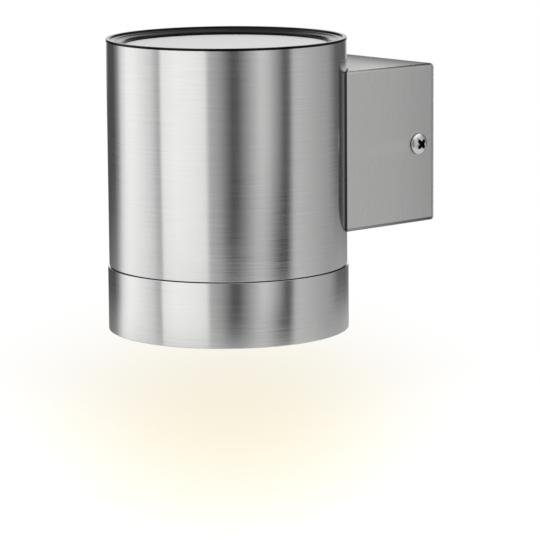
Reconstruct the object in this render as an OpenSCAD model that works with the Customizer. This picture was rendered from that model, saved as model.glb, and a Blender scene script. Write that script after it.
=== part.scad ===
// Tube wall light: a brushed steel tube that shines down, on a box arm that screws to a wall plate.
// Origin: centre of the wall plate's back face, on the wall. +Y goes into the wall, +Z is up,
// and the tube stands off the wall towards -Y. All lengths are millimetres.

/* [Tube] */
// Outer diameter of the tube
tube_d = 90; // [86:0.5:100]
// Wall of the tube
tube_wall = 1.2; // [1:0.1:1.5]
// Length of the upper tube
tube_len = 84.4; // [80:0.1:96]
// Height of the tube's steel edge above the top of the arm box
tube_rise = 11.75; // [9:0.25:16]
// Distance from the wall to the tube's axis
axis_out = 73.5; // [72:0.5:80]

/* [Lower ring] */
// Length of the lower ring
ring_len = 24.3; // [22:0.1:30]
// Distance that the lower ring's face stands out past the tube's
ring_proud = 0.5; // [0:0.1:1]
// Seam between the tube and the lower ring, filled by its seal
seam_gap = 0.35; // [0.2:0.05:0.6]
// Thickness of the turned-in lip that carries the lens
lip_t = 1.5; // [1:0.1:2]
// Width of the lip's ledge under the lens
lip_ledge = 1.7; // [1.2:0.1:2.5]
// Chamfer round the outer bottom edge
ring_chamfer = 0.4; // [0.2:0.1:0.8]
// Thickness of the lens
lens_t = 3.5; // [3:0.1:4]
// Thickness of the gasket on the lens
lens_gasket_t = 1; // [0.8:0.1:1.5]

/* [Thread collar] */
// Step from the tube's inside to the thread
thread_step = 2.5; // [2.2:0.1:3]
// Wall of the threaded skirt
collar_wall = 1.8; // [1.6:0.1:2.2]
// Thickness of the collar's ledge under the heat sink
ledge_t = 2.5; // [2:0.1:3]
// Width of that ledge
ledge_w = 6.5; // [6.2:0.1:7]

/* [Top cap] */
// Height of the black cap ring above the steel edge
cap_rise = 0.9; // [0.7:0.1:1.4]
// How far the cap ring stands out over the steel
cap_overhang = 0.1; // [0:0.05:0.3]
// Radial width of the cap ring from its outer edge to its lip
cap_face_w = 5.8; // [5.4:0.1:7]
// Distance from the inside of the tube to the inside of the cap ring's raised rim
cap_rim_inset = 0.2; // [0.1:0.05:0.6]
// Fall of the cap ring's dished face from the rim to the lip
cap_face_drop = 0.65; // [0.4:0.05:0.8]
// Depth of the disc below the steel edge
disc_depth = 1.9; // [1.7:0.1:2.4]
// Thickness of the top disc
disc_t = 1; // [0.8:0.1:1.5]
// Length of the cap ring's spigot inside the tube
spigot_len = 7; // [6.6:0.2:9]

/* [Arm box] */
// Width of the arm box
arm_w = 71; // [68:1:74]
// Height of the arm box
arm_h = 60.5; // [58:0.5:68]
// Thickness of the box's sheet
arm_wall = 1; // [0.8:0.1:1.4]
// Outer radius of the box's folds
bend_r = 1.5; // [1.5:0.1:2.5]
// Thickness of the saddle gasket between the tube and the box
saddle_gasket_t = 0.5; // [0.4:0.1:1]
// Thickness of the curved saddle plate
saddle_t = 1.5; // [1.2:0.1:2]
// Thickness of the edge seal on the wall
wall_seal_t = 0.5; // [0.3:0.1:1]
// Distance from the wall to the side screws
side_screw_back = 8.2; // [7:0.1:9]

/* [Wall plate] */
// Thickness of the wall plate
plate_t = 1.5; // [1.2:0.1:2]
// Distance between the two wall fixing slots
slot_spacing = 42; // [40:1:44]
// Width of a wall fixing slot
slot_w = 4.5; // [4:0.1:5.5]
// Length of a wall fixing slot from end to end
slot_len = 10; // [8:0.5:11]
// Bore of the grommet that the supply cable comes through
entry_bore = 9; // [8:0.5:10]

/* [Light engine] */
// Height of the heat sink's fins
fin_h = 9; // [8:0.5:10]
// Thickness of a fin
fin_t = 1.5; // [1:0.1:2]
// Spacing of the fins
fin_pitch = 6; // [5.5:0.5:7]
// Thickness of the heat sink's base
sink_t = 4; // [3.8:0.1:5]
// Thickness of the board that carries the light sources
board_t = 1.6; // [1:0.1:2]
// Light sources on the outer circle of the board
chips_outer = 12; // [8:1:14]
// Light sources on the inner circle of the board
chips_inner = 6; // [3:1:6]
// Wall of the reflector
reflector_wall = 1; // [0.8:0.1:1.2]

/* [Driver] */
// Width of the driver's case
driver_w = 58; // [54:1:60]
// Depth of the driver's case
driver_d = 36; // [34:1:38]
// Height of the driver's case
driver_h = 24; // [22:1:26]
// Wall of the driver's case
driver_wall = 1.6; // [1.4:0.1:2]

/* [Hidden] */
$fn = 96;
// Overrun of a cut past the face that it opens
overrun = 1;
// Gap left where one round piece is pressed or bonded into another
seat_gap = 0.05;
// Running gap between the threads of the collar and the ring
thread_gap = 0.3;
// Gap round the edge of the lens
lens_gap = 0.4;
// Slack of the wall plate inside the box
plate_gap = 0.3;

// Radii round the tube's axis
tube_r = tube_d / 2;
tube_ir = tube_r - tube_wall;
press_r = tube_ir - seat_gap;
ring_r = tube_r + ring_proud;
thread_r = tube_ir - thread_step;
insert_ir = thread_r + thread_gap;
collar_ir = thread_r - collar_wall;
ledge_ir = collar_ir - ledge_w;
lens_r = insert_ir - lens_gap;
lip_ir = lens_r - lip_ledge;
cap_r = tube_r + cap_overhang;
cap_ir = cap_r - cap_face_w;
gasket_r = tube_r + seat_gap + saddle_gasket_t;
saddle_ir = gasket_r + seat_gap;
saddle_r = saddle_ir + saddle_t;

// Heights, from the wall plate's centre
top_z = arm_h / 2 + tube_rise;
tube_bot = top_z - tube_len;
ring_top = tube_bot - seam_gap;
ring_bot = ring_top - ring_len;
lens_bot = ring_bot + lip_t;
lens_top = lens_bot + lens_t;
collar_bot = lens_top + lens_gasket_t;
// Bracket's leg past the arm bolts
leg_head = 6;
leg_tail = 4;
// Thickness of the bracket's sheet
bracket_t = 1.5;
// Grommet for the leads, halfway between the heads of the arm bolts
bolt_head_half = 4;
grommet_bore_r = 3.6;
grommet_r = 5;
grommet_flange_r = 6.5;
grommet_flange_t = 1.2;
// Room between the driver's shelf and the grommet, the lower bolt's head and the fins
grommet_gap = 2.5;
bolt_shelf_gap = 2.5;
shelf_gap = 2;
// Room between the leg and the heat sink
leg_gap = 0.5;
shelf_top = -grommet_flange_r - grommet_gap;
shelf_bot = shelf_top - bracket_t;
bolt_z = bolt_head_half + bolt_shelf_gap - shelf_bot;
leg_top = bolt_z + leg_head;
leg_bot = -bolt_z - leg_tail;
sink_top = min(leg_bot - leg_gap, shelf_bot - shelf_gap - fin_h);
fins_top = sink_top + fin_h;
collar_top = sink_top - sink_t;
ledge_bot = collar_top - ledge_t;

// Cap ring: raised rim, lip over the disc, pocket for the disc and groove for the seal
cap_lip_step = 0.6;
cap_lip_fall = 0.35;
disc_hold = 1.7;
disc_gap = 0.2;
cap_lip_ir = cap_ir - cap_lip_step;
cap_rim_ir = tube_ir - cap_rim_inset;
disc_r = cap_lip_ir + disc_hold;
pocket_r = disc_r + disc_gap;
disc_top = top_z - disc_depth;
disc_seal_t = 0.8;
disc_seal_w = 2.2;
retainer_t = 2;
retainer_w = 3.3;
seal_cord_r = 0.7;
seal_groove_slack = 0.15;
seal_drop = 4.9;

// Seam seal and threaded insert
seam_seal_gap = 0.1;
seam_seal_inset = 0.4;
insert_drop = 1;

// Light engine
sink_edge_gap = 0.8;
fin_inset = 7.8;
fin_field_r = tube_ir - fin_inset;
fins_each_side = floor(fin_field_r / fin_pitch);
pad_t = 0.3;
board_edge_gap = 1;
board_r = ledge_ir - board_edge_gap;
pad_top = collar_top;
board_top = pad_top - pad_t;
board_bot = board_top - board_t;
chip_w = 3.5;
chip_d = 2.8;
chip_h = 0.7;
board_screw_inset = 4.8;
reflector_inset = 5.2;
chip_inset = 5;
chip_inner_share = 0.5;
board_screw_r = board_r - board_screw_inset;
reflector_top_r = board_screw_r - reflector_inset;
chip_outer_r = reflector_top_r - chip_inset;
chip_inner_r = chip_outer_r * chip_inner_share;
reflector_top_gap = 0.5;
reflector_flange_t = 1;
reflector_flange_gap = 0.1;
counterbore_wall = 0.9;
reflector_side_gap = 0.2;
sink_screw_ring_r = (ledge_ir + collar_ir) / 2;
small_screw_r = 1.5;
small_head_r = 2.6;
small_head_h = 1.6;
small_screw_bite = 3;
screw_gap = 0.05;
screws_per_ring = 3;
board_screw_turn = 60;
sink_screw_turn = 30;
led_lead_inset = 4;
led_lead_out = board_r - led_lead_inset;
led_hole_w = 6.4;
led_hole_d = 3;
led_pitch = 3;

// Driver, on a shelf whose leg is held by the arm bolts
boss_r = 3.2;
boss_h = 2.5;
boss_gap = 5.2;
shelf_side = 5;
driver_screw_x = driver_w / 2 - driver_wall - boss_r - boss_gap;
shelf_w = 2 * (driver_screw_x + shelf_side);
shelf_front = 16;
neck_start = 20;
leg_w = 24;
leg_out_y = sqrt(pow(tube_ir, 2) - pow(leg_w / 2, 2)) - seat_gap;
leg_in_y = leg_out_y - bracket_t;
driver_bot = shelf_top;
driver_top = driver_bot + driver_h;
post_h = 3;
post_side = 4;
pcb_gap = 0.5;
pcb_t = 1.6;
pcb_bot = driver_bot + driver_wall + post_h;
pcb_top = pcb_bot + pcb_t;
cover_lip_h = 2;
cover_lip_t = 1.2;
cover_lip_gap = 0.1;
coil_side_gap = 3.4;
coil_top_gap = 3.2;
lead_lane = 6;
coil_w = driver_w / 2 - driver_wall - coil_side_gap - lead_lane;
coil_d = 16;
coil_h = driver_h - 2 * driver_wall - post_h - pcb_t - coil_top_gap;
coil_x = -lead_lane - coil_w / 2;
capacitor_r = 5;
capacitor_h = coil_h;
capacitor_side_gap = 7.4;
capacitor_x = driver_w / 2 - driver_wall - capacitor_side_gap - capacitor_r;
capacitor_y = 5;
small_capacitor_r = 3.5;
small_capacitor_drop = 4;
small_capacitor_h = coil_h - small_capacitor_drop;
capacitor_spacing = 12;

// Leads
lead_r = 1.1;
dc_lead_r = 0.8;
lead_sides = 8;
lead_steps = 9;
lead_pitch = 3.4;
lead_hole_gap = 0.2;
lead_foot = 6;
lead_bend = 5;
solder_gap = 0.1;

// Arm fixings
bolt_r = 2.5;
bolt_gap = 0.15;
bolt_head_h = 2.8;
bolt_end = 1;
hex_share = 1 / cos(30);
washer_r = 5;
washer_t = 1;
nut_half = 4;
nut_h = 4;

// Box, plate and seal
box_back = -wall_seal_t;
edge_round = 1;
box_in_w = arm_w / 2 - arm_wall;
box_in_h = arm_h / 2 - arm_wall;
plate_half_w = box_in_w - plate_gap;
plate_half_h = box_in_h - plate_gap;
plate_corner_r = 2;
wall_seal_gap = 0.1;
tab_h = 20;
tab_len = 14;
slot_x = slot_spacing / 2;
entry_wall = 1.3;
entry_flange_w = 2.2;
entry_flange_t = 1.2;
entry_r = entry_bore / 2 + entry_wall;
entry_flange_r = entry_r + entry_flange_w;

// Side screws
side_r = 2;
side_gap = 0.2;
side_head_r = 4;
side_head_edge = 0.7;
side_head_h = 2.5;
side_shank = 12;
side_washer_t = 0.4;
side_washer_r = 3.4;
recess_arm = 4.4;
recess_w = 1.4;
recess_depth = 1.5;
recess_turn = 45;
clinch_r = 3.5;
clinch_len = 3.5;
clinch_neck_r = 2.8;
side_screw_y = -side_screw_back;
side_washer_x = arm_w / 2;
side_head_x = side_washer_x + side_washer_t;

// Terminal block, earth stud and lug
block_w = 29;
block_d = 14;
block_h = 14;
block_lift_share = 0.35;
block_z = entry_flange_r + block_h / 2 + (plate_half_h - entry_flange_r - block_h) * block_lift_share;
pole_pitch = 9.4;
pole_r = 3;
pole_bore_r = 1.7;
pole_len = 12;
pole_gap = 0.1;
pole_screw_r = 1.5;
pole_screw_up = 3.4;
pole_screw_sink = 1;
pole_y = -plate_t - block_d / 2;
block_screw_r = 1.4;
block_head_r = 1.7;
block_head_h = 1;
block_tail = 0.5;
block_bottom_z = block_z - block_h / 2;
stud_r = 2;
stud_len = 9;
stud_x = -13;
stud_inset = 8.7;
stud_z = stud_inset - plate_half_h;
lug_t = 0.8;
lug_r = 4;
lug_neck_w = 3.4;
lug_neck_len = 6.4;
lug_crimp_r = 1.7;
lug_crimp_len = 5;
stud_nut_half = 3.5;
stud_nut_h = 3.2;
plain_gap = 0.02;

// Moves its children to the tube's axis
module at_axis() { translate([0, -axis_out, 0]) children(); }

// Ring or sleeve round the tube's axis
module sleeve(r_out, r_in, z_low, z_high) {
  at_axis() translate([0, 0, z_low]) difference() {
    cylinder(r = r_out, h = z_high - z_low);
    translate([0, 0, -overrun]) cylinder(r = r_in, h = z_high - z_low + 2 * overrun);
  }
}

// Round bar or hole along Y, from y_low to y_high
module bar_y(r, y_low, y_high, x = 0, z = 0, sides = $fn) {
  translate([x, y_high, z]) rotate([90, 0, 0]) cylinder(r = r, h = y_high - y_low, $fn = sides);
}

// Round bar or hole along X, from x_low to x_high
module bar_x(r, x_low, x_high, y = 0, z = 0) {
  translate([x_low, y, z]) rotate([0, 90, 0]) cylinder(r = r, h = x_high - x_low);
}

// Rectangle of given half sizes with round corners
module round_rect(half_x, half_y, r) {
  square([2 * (half_x - r), 2 * half_y], center = true);
  square([2 * half_x, 2 * (half_y - r)], center = true);
  for (sx = [-1, 1], sy = [-1, 1]) translate([sx * (half_x - r), sy * (half_y - r)]) circle(r = r);
}

// Bar along Y with a round-cornered rectangle as its section
module block_y(half_w, half_h, r, y_low, y_high) {
  translate([0, y_high, 0]) rotate([90, 0, 0]) linear_extrude(y_high - y_low)
    round_rect(half_w, half_h, r);
}

// Children repeated evenly round the tube's axis
module round_axis(count, turn = 0) {
  at_axis() for (i = [0:count - 1]) rotate([0, 0, turn + i * 360 / count]) children();
}

// Point on a cubic curve with four control points
function curve(p, t) = pow(1 - t, 3) * p[0] + 3 * t * pow(1 - t, 2) * p[1]
  + 3 * t * t * (1 - t) * p[2] + pow(t, 3) * p[3];
// Points along one curve, without its first point
function curve_points(p) = [for (i = [1:lead_steps]) curve(p, i / lead_steps)];
function unit(v) = v / norm(v);

// Wire along points whose course never runs along X
module wire(points, r) {
  n = len(points);
  m = lead_sides;
  rings = [for (i = [0:n - 1])
    let (t = unit(points[min(i + 1, n - 1)] - points[max(i - 1, 0)]),
      v = unit(cross(t, [1, 0, 0])), u = cross(v, t))
      for (j = [0:m - 1]) points[i] + r * (cos(j * 360 / m) * u + sin(j * 360 / m) * v)];
  sides = [for (i = [0:n - 2], j = [0:m - 1])
    let (a = i * m + j, b = i * m + (j + 1) % m) each [[a, b, a + m], [b, b + m, a + m]]];
  ends = [for (j = [1:m - 2]) each [[0, j + 1, j], [(n - 1) * m, (n - 1) * m + j, (n - 1) * m + j + 1]]];
  polyhedron(points = rings, faces = concat(sides, ends));
}

// Small pan-head screw along Z, its shank going up from its head's seat at zero
module small_screw(bite) {
  translate([0, 0, -small_head_h]) cylinder(r = small_head_r, h = small_head_h);
  cylinder(r = small_screw_r, h = bite);
}

// Cuts for the arm bolts and the lead grommet, through whatever lies between tube and box
module arm_cuts(y_low, y_high) {
  for (s = [-1, 1]) bar_y(bolt_r + bolt_gap, y_low, y_high, 0, s * bolt_z);
  bar_y(grommet_r + seat_gap, y_low, y_high);
}

module tube_shell() {
  color("silver") difference() {
    sleeve(tube_r, tube_ir, tube_bot, top_z);
    arm_cuts(-axis_out, -axis_out + tube_r + overrun);
  }
}

// Black ring round the top: raised rim on the steel edge, dished face, lip over the disc and spigot
module cap_ring() {
  groove_r = press_r - 2 * seal_cord_r;
  groove_top = -seal_drop + seal_cord_r + seal_groove_slack;
  groove_bot = -seal_drop - seal_cord_r - seal_groove_slack;
  color("#1c1c1d") at_axis() translate([0, 0, top_z]) rotate_extrude() polygon([
    [cap_r, 0], [cap_r, cap_rise], [cap_rim_ir, cap_rise], [cap_rim_ir, 0], [cap_ir, -cap_face_drop],
    [cap_lip_ir, -cap_face_drop - cap_lip_fall], [cap_lip_ir, -disc_depth],
    [pocket_r, -disc_depth], [pocket_r, -spigot_len], [press_r, -spigot_len],
    [press_r, groove_bot], [groove_r, groove_bot], [groove_r, groove_top], [press_r, groove_top],
    [press_r, 0]
  ]);
}

module cap_seal_ring() {
  color("#202020") at_axis() translate([0, 0, top_z - seal_drop])
    rotate_extrude() translate([press_r - seal_cord_r, 0]) circle(r = seal_cord_r - plain_gap);
}

module top_disc() {
  color("gainsboro") at_axis() translate([0, 0, disc_top - disc_t]) cylinder(r = disc_r, h = disc_t);
}

module top_disc_seal() {
  color("#202020") sleeve(disc_r, disc_r - disc_seal_w, disc_top - disc_t - disc_seal_t, disc_top - disc_t);
}

module top_disc_retainer() {
  high = disc_top - disc_t - disc_seal_t;
  color("#2a2a2a") sleeve(pocket_r - seat_gap, pocket_r - retainer_w, high - retainer_t, high);
}

// Collar bonded into the tube's lower end: ledge for the heat sink above, threaded skirt below
module thread_collar() {
  skirt_h = tube_bot - collar_bot;
  color("#9a9da0") difference() {
    union() {
      sleeve(press_r, collar_ir, tube_bot, collar_top);
      sleeve(thread_r, collar_ir, collar_bot, tube_bot);
      sleeve(press_r, ledge_ir, ledge_bot, collar_top);
    }
    at_axis() translate([0, 0, collar_bot - overrun])
      cylinder(r = thread_r - counterbore_wall, h = reflector_flange_t + overrun);
    round_axis(screws_per_ring, sink_screw_turn) translate([sink_screw_ring_r, 0, ledge_bot - overrun])
      cylinder(r = small_screw_r + seat_gap, h = ledge_t + 2 * overrun);
  }
}

module seam_seal() {
  color("#191919") sleeve(tube_r - seam_seal_inset, thread_r + seam_seal_gap, ring_top, tube_bot);
}

// Lower ring: steel sleeve whose bottom edge is turned in to carry the lens
module lower_ring() {
  color("silver") at_axis() rotate_extrude() polygon([
    [ring_r, ring_top], [ring_r, ring_bot + ring_chamfer], [ring_r - ring_chamfer, ring_bot],
    [lip_ir, ring_bot], [lip_ir, lens_bot], [tube_ir, lens_bot], [tube_ir, ring_top]
  ]);
}

// Threaded insert pressed into the lower ring, standing on its lip
module ring_thread_insert() {
  color("#9a9da0") sleeve(press_r, insert_ir, lens_bot, ring_top - insert_drop);
}

module lens() {
  color("#f4efdd") at_axis() translate([0, 0, lens_bot]) cylinder(r = lens_r, h = lens_t);
}

module lens_gasket() {
  color("#dcdcdc") sleeve(lens_r, lip_ir, lens_top, collar_bot);
}

// Cone from the board down to a flange in the collar's counterbore
module reflector() {
  low_r = collar_ir - reflector_side_gap;
  high_z = board_bot - reflector_top_gap;
  flange_r = thread_r - counterbore_wall - reflector_flange_gap;
  color("white") at_axis() rotate_extrude() polygon([
    [reflector_top_r, high_z], [reflector_top_r + reflector_wall, high_z],
    [low_r, collar_bot + reflector_flange_t], [flange_r, collar_bot + reflector_flange_t],
    [flange_r, collar_bot], [low_r - reflector_wall, collar_bot]
  ]);
}

module lead_slot(z_low, z_high) {
  at_axis() translate([-led_hole_w / 2, -led_lead_out - led_hole_d / 2, z_low])
    cube([led_hole_w, led_hole_d, z_high - z_low]);
}

module led_board() {
  color("white") difference() {
    at_axis() translate([0, 0, board_bot]) cylinder(r = board_r, h = board_t);
    round_axis(screws_per_ring, board_screw_turn) translate([board_screw_r, 0, board_bot - overrun])
      cylinder(r = small_screw_r + seat_gap, h = board_t + 2 * overrun);
    lead_slot(board_bot - overrun, board_top + overrun);
  }
}

module led_chips() {
  color("#f2c94c") {
    round_axis(chips_outer) translate([chip_outer_r, 0, board_bot - chip_h / 2])
      cube([chip_w, chip_d, chip_h], center = true);
    round_axis(chips_inner) translate([chip_inner_r, 0, board_bot - chip_h / 2])
      cube([chip_w, chip_d, chip_h], center = true);
  }
}

module led_board_screws() {
  color("silver") round_axis(screws_per_ring, board_screw_turn) translate([board_screw_r, 0, board_bot])
    small_screw(board_t + pad_t + small_screw_bite);
}

module thermal_pad() {
  color("#8c8f94") difference() {
    at_axis() translate([0, 0, board_top]) cylinder(r = board_r, h = pad_t);
    round_axis(screws_per_ring, board_screw_turn) translate([board_screw_r, 0, board_top - overrun])
      cylinder(r = small_screw_r + seat_gap, h = pad_t + 2 * overrun);
    lead_slot(board_top - overrun, pad_top + overrun);
  }
}

// Heat sink on the collar's ledge, with a free lane in the middle for the leads
module heat_sink() {
  color("#b4b7ba") difference() {
    at_axis() {
      translate([0, 0, collar_top]) cylinder(r = tube_ir - sink_edge_gap, h = sink_t);
      intersection() {
        translate([0, 0, collar_top]) cylinder(r = fin_field_r, h = sink_t + fin_h);
        for (side = [-1, 1], i = [1:fins_each_side])
          translate([side * i * fin_pitch - fin_t / 2, -fin_field_r, collar_top])
            cube([fin_t, 2 * fin_field_r, sink_t + fin_h]);
      }
    }
    round_axis(screws_per_ring, board_screw_turn) translate([board_screw_r, 0, collar_top - overrun])
      cylinder(r = small_screw_r + seat_gap, h = small_screw_bite + overrun + screw_gap);
    round_axis(screws_per_ring, sink_screw_turn) translate([sink_screw_ring_r, 0, collar_top - overrun])
      cylinder(r = small_screw_r + seat_gap, h = small_screw_bite + overrun + screw_gap);
    lead_slot(collar_top - overrun, fins_top + overrun);
  }
}

module heat_sink_screws() {
  color("silver") round_axis(screws_per_ring, sink_screw_turn) translate([sink_screw_ring_r, 0, ledge_bot])
    small_screw(ledge_t + small_screw_bite);
}

// Places of the two screws that hold the driver's tray
module at_driver_screws() {
  for (s = [-1, 1]) at_axis() translate([s * driver_screw_x, 0, 0]) children();
}

// Holes for a pair of leads through the case's wall, on the given side
module lead_holes(side, r, pitch) {
  for (s = [-1, 1])
    bar_y(r + lead_hole_gap, -axis_out + side * driver_d / 2 - 2 * driver_wall,
      -axis_out + side * driver_d / 2 + 2 * driver_wall, s * pitch / 2, 0);
}

module driver_tray() {
  color("whitesmoke") difference() {
    union() {
      at_axis() difference() {
        translate([-driver_w / 2, -driver_d / 2, driver_bot])
          cube([driver_w, driver_d, driver_h - driver_wall]);
        translate([-driver_w / 2 + driver_wall, -driver_d / 2 + driver_wall, driver_bot + driver_wall])
          cube([driver_w - 2 * driver_wall, driver_d - 2 * driver_wall, driver_h]);
      }
      at_axis() for (sx = [-1, 1], sy = [-1, 1])
        translate([sx * (driver_w / 2 - driver_wall - post_side / 2),
          sy * (driver_d / 2 - driver_wall - post_side / 2), driver_bot + driver_wall + post_h / 2])
          cube([post_side, post_side, post_h], center = true);
      at_driver_screws() translate([0, 0, driver_bot]) cylinder(r = boss_r, h = driver_wall + boss_h);
    }
    at_driver_screws() translate([0, 0, driver_bot - overrun])
      cylinder(r = small_screw_r + seat_gap, h = driver_wall + boss_h + 2 * overrun);
    lead_holes(1, lead_r, lead_pitch);
    lead_holes(-1, dc_lead_r, led_pitch);
  }
}

module driver_cover() {
  lip_w = driver_w - 2 * driver_wall - 2 * cover_lip_gap;
  lip_d = driver_d - 2 * driver_wall - 2 * cover_lip_gap;
  color("whitesmoke") at_axis() {
    translate([-driver_w / 2, -driver_d / 2, driver_top - driver_wall])
      cube([driver_w, driver_d, driver_wall]);
    translate([0, 0, driver_top - driver_wall - cover_lip_h]) difference() {
      translate([-lip_w / 2, -lip_d / 2, 0]) cube([lip_w, lip_d, cover_lip_h]);
      translate([-lip_w / 2 + cover_lip_t, -lip_d / 2 + cover_lip_t, -overrun])
        cube([lip_w - 2 * cover_lip_t, lip_d - 2 * cover_lip_t, cover_lip_h + overrun]);
    }
  }
}

module driver_board() {
  w = driver_w - 2 * driver_wall - 2 * pcb_gap;
  d = driver_d - 2 * driver_wall - 2 * pcb_gap;
  color("#2f6b3f") at_axis() translate([-w / 2, -d / 2, pcb_bot]) cube([w, d, pcb_t]);
}

module driver_transformer() {
  color("#d8b23a") at_axis() translate([coil_x - coil_w / 2, -coil_d / 2, pcb_top])
    cube([coil_w, coil_d, coil_h]);
}

module driver_capacitors() {
  color("#30343c") at_axis() {
    translate([capacitor_x, capacitor_y, pcb_top]) cylinder(r = capacitor_r, h = capacitor_h);
    translate([capacitor_x, capacitor_y - capacitor_spacing, pcb_top])
      cylinder(r = small_capacitor_r, h = small_capacitor_h);
  }
}

// Bracket: a leg under the arm bolts' heads and a shelf under the driver
module driver_bracket() {
  color("#b9bcc0") difference() {
    at_axis() {
      translate([-leg_w / 2, leg_in_y, leg_bot]) cube([leg_w, bracket_t, leg_top - leg_bot]);
      translate([-leg_w / 2, neck_start - overrun, shelf_bot])
        cube([leg_w, leg_out_y - neck_start + overrun, bracket_t]);
      translate([-shelf_w / 2, -shelf_front, shelf_bot])
        cube([shelf_w, shelf_front + neck_start, bracket_t]);
    }
    arm_cuts(-axis_out + leg_in_y - overrun, -axis_out + leg_out_y + overrun);
    at_driver_screws() translate([0, 0, shelf_bot - overrun])
      cylinder(r = small_screw_r + seat_gap, h = bracket_t + 2 * overrun);
  }
}

module driver_screws() {
  color("silver") at_driver_screws() translate([0, 0, shelf_bot])
    small_screw(bracket_t + driver_wall + boss_h);
}

// Course of a supply lead: out of a pole, through the grommet and down to the driver's board
function supply_course(side, pole_x) =
  let (
    x = side * lead_pitch / 2,
    pole = [pole_x, pole_y, block_bottom_z],
    bay = [x, -axis_out + saddle_r + lead_foot, 0],
    gate = [x, -axis_out + driver_d / 2 + lead_bend, 0],
    foot = [x, -axis_out + driver_d / 2 - driver_wall - lead_foot, pcb_top + solder_gap]
  )
  concat([pole + [0, 0, pole_gap]],
    curve_points([pole, pole - [0, 0, lead_foot], bay + [0, lead_foot, 0], bay]),
    [gate],
    curve_points([gate, gate - [0, 2 * lead_bend, 0], foot + [0, 0, lead_bend], foot]));

// Course of a lead from the driver's board, over the front and down to the light sources' board
function led_course(side) =
  let (
    x = side * led_pitch / 2,
    foot = [x, -axis_out - driver_d / 2 + driver_wall + lead_foot, pcb_top + solder_gap],
    gate = [x, -axis_out - driver_d / 2 - driver_wall, 0],
    drop = [x, -axis_out - led_lead_out, -lead_bend - driver_wall],
    end = [x, -axis_out - led_lead_out, board_bot]
  )
  concat([foot],
    curve_points([foot, foot + [0, 0, lead_bend], gate + [0, lead_bend, 0], gate]),
    curve_points([gate, gate - [0, lead_bend, 0], drop + [0, 0, lead_bend], drop]),
    [end]);

module live_lead() { color("#7a4a2a") wire(supply_course(-1, 0), lead_r); }
module neutral_lead() { color("#2f5fb0") wire(supply_course(1, pole_pitch), lead_r); }
module led_plus_lead() { color("#b02a2a") wire(led_course(-1), dc_lead_r); }
module led_minus_lead() { color("#202020") wire(led_course(1), dc_lead_r); }

// Folded sheet box, open at the back and cut to the tube's curve in front
module arm_box() {
  front = -axis_out;
  deep = box_back - front;
  color("#a9abad") difference() {
    intersection() {
      block_y(arm_w / 2, arm_h / 2, bend_r, front, box_back);
      translate([-arm_w / 2, 0, 0]) rotate([0, 90, 0]) linear_extrude(arm_w)
        translate([0, front + deep / 2]) round_rect(arm_h / 2, deep / 2, edge_round);
      translate([0, front + deep / 2, -arm_h / 2]) linear_extrude(arm_h)
        round_rect(arm_w / 2, deep / 2, edge_round);
    }
    block_y(box_in_w, box_in_h, bend_r - arm_wall, front - overrun, box_back + overrun);
    at_axis() translate([0, 0, -arm_h]) cylinder(r = saddle_ir, h = 2 * arm_h);
    bar_x(side_r + side_gap, -arm_w, arm_w, side_screw_y);
  }
}

// Curved plate welded inside the box's front edges
module saddle_plate() {
  half_w = box_in_w - seat_gap;
  half_h = box_in_h - seat_gap;
  color("#b9bcc0") difference() {
    intersection() {
      sleeve(saddle_r, saddle_ir, -half_h, half_h);
      block_y(half_w, half_h, bend_r - arm_wall, -axis_out, 0);
    }
    arm_cuts(-axis_out, 0);
  }
}

module saddle_gasket() {
  color("#191919") difference() {
    intersection() {
      sleeve(gasket_r, tube_r + seat_gap, -arm_h, arm_h);
      block_y(arm_w / 2, arm_h / 2, bend_r, -axis_out, 0);
    }
    arm_cuts(-axis_out, 0);
  }
}

module arm_bolts() {
  seat = -axis_out + leg_in_y;
  tip = -axis_out + saddle_r + seat_gap + washer_t + nut_h + bolt_end;
  color("silver") for (s = [-1, 1]) {
    bar_y(bolt_head_half * hex_share, seat - bolt_head_h, seat, 0, s * bolt_z, 6);
    bar_y(bolt_r, seat, tip, 0, s * bolt_z);
  }
}

module arm_washers() {
  seat = -axis_out + saddle_r + seat_gap;
  color("silver") for (s = [-1, 1]) difference() {
    bar_y(washer_r, seat, seat + washer_t, 0, s * bolt_z);
    bar_y(bolt_r + bolt_gap, seat - overrun, seat + washer_t + overrun, 0, s * bolt_z);
  }
}

module arm_nuts() {
  seat = -axis_out + saddle_r + seat_gap + washer_t;
  color("silver") for (s = [-1, 1]) difference() {
    bar_y(nut_half * hex_share, seat, seat + nut_h, 0, s * bolt_z, 6);
    bar_y(bolt_r + seat_gap, seat - overrun, seat + nut_h + overrun, 0, s * bolt_z);
  }
}

// Grommet that carries the leads out of the tube into the box
module lead_grommet() {
  front = -axis_out + leg_in_y;
  back = -axis_out + saddle_r + seat_gap;
  color("#191919") difference() {
    union() {
      bar_y(grommet_r, front, back);
      bar_y(grommet_flange_r, front - grommet_flange_t, front);
      bar_y(grommet_flange_r, back, back + grommet_flange_t);
    }
    bar_y(grommet_bore_r, front - grommet_flange_t - overrun, back + grommet_flange_t + overrun);
  }
}

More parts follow.
